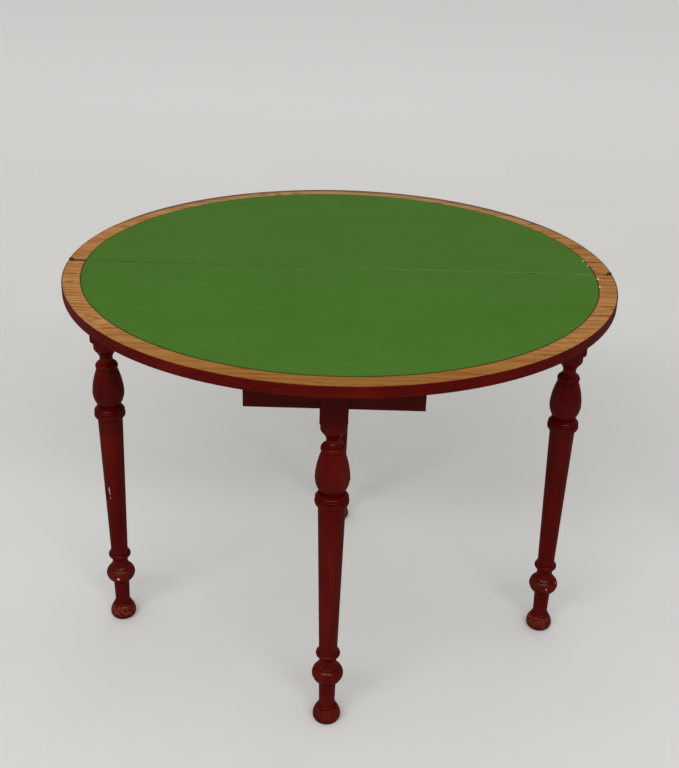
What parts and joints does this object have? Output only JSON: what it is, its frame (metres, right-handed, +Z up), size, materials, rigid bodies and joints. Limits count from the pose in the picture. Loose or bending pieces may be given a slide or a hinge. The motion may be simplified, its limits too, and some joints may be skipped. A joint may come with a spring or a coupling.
{
  "type": "folding card table",
  "caption": "Half-round card table shown open, with a cloth-lined round top that folds in half and a turned leg that draws out on a shallow drawer.",
  "frame": {"origin": "on the floor under the middle of the fold line, which is the centre of the round top", "axes": "+Z up, +X along the fold to the right, -Y towards the side that the leg draws out from"},
  "size_m": [0.914, 0.914, 0.7499],
  "materials": {
    "stained_wood": "dark red-brown stain, satin, worn",
    "inner_wood": "bare wood, dull",
    "oak": "oiled oak on top, red stain on the edge",
    "baize": "green wool baize",
    "hinge_brass": "dull, aged",
    "screw_steel": "dark, dull"
  },
  "bodies": {
    "frame": {"leg_left": "stained_wood", "leg_right": "stained_wood", "leg_back": "stained_wood", "frieze_left": "stained_wood", "frieze_right": "stained_wood", "rail_left": "stained_wood", "rail_right": "stained_wood", "guide_left": "inner_wood", "guide_right": "inner_wood", "bearer_rail": "inner_wood", "runner_left": "inner_wood", "runner_right": "inner_wood", "kicker_left": "inner_wood", "kicker_right": "inner_wood", "stop_bar": "inner_wood", "rear_stops": "inner_wood", "glue_blocks": "inner_wood", "top_buttons": "inner_wood", "fixed_leaf": "oak", "fixed_baize": "baize", "hinge_fixed_left": "hinge_brass", "hinge_fixed_right": "hinge_brass", "hinge_pins": "screw_steel", "hinge_screws_fixed": "screw_steel", "top_screws": "screw_steel"},
    "fly_half": {"fly_leaf": "oak", "fly_baize": "baize", "hinge_fly_left": "hinge_brass", "hinge_fly_right": "hinge_brass", "hinge_screws_fly": "screw_steel"},
    "pull_out": {"pull_leg": "stained_wood", "bridle_pegs": "inner_wood", "drawer_front": "stained_wood", "drawer_side_left": "inner_wood", "drawer_side_right": "inner_wood", "drawer_back": "inner_wood", "drawer_bottom": "inner_wood"}
  },
  "joints": [
    {"name": "leaf_fold", "type": "hinge", "parent": "frame", "child": "fly_half", "pos_m": [0, 0, 0.7463], "axis": [-1, 0, 0], "range_deg": [0, 180]},
    {"name": "leg_slide", "type": "slide", "parent": "frame", "child": "pull_out", "axis": [0, 1, 0], "range_m": [0, 0.2785]}
  ]
}
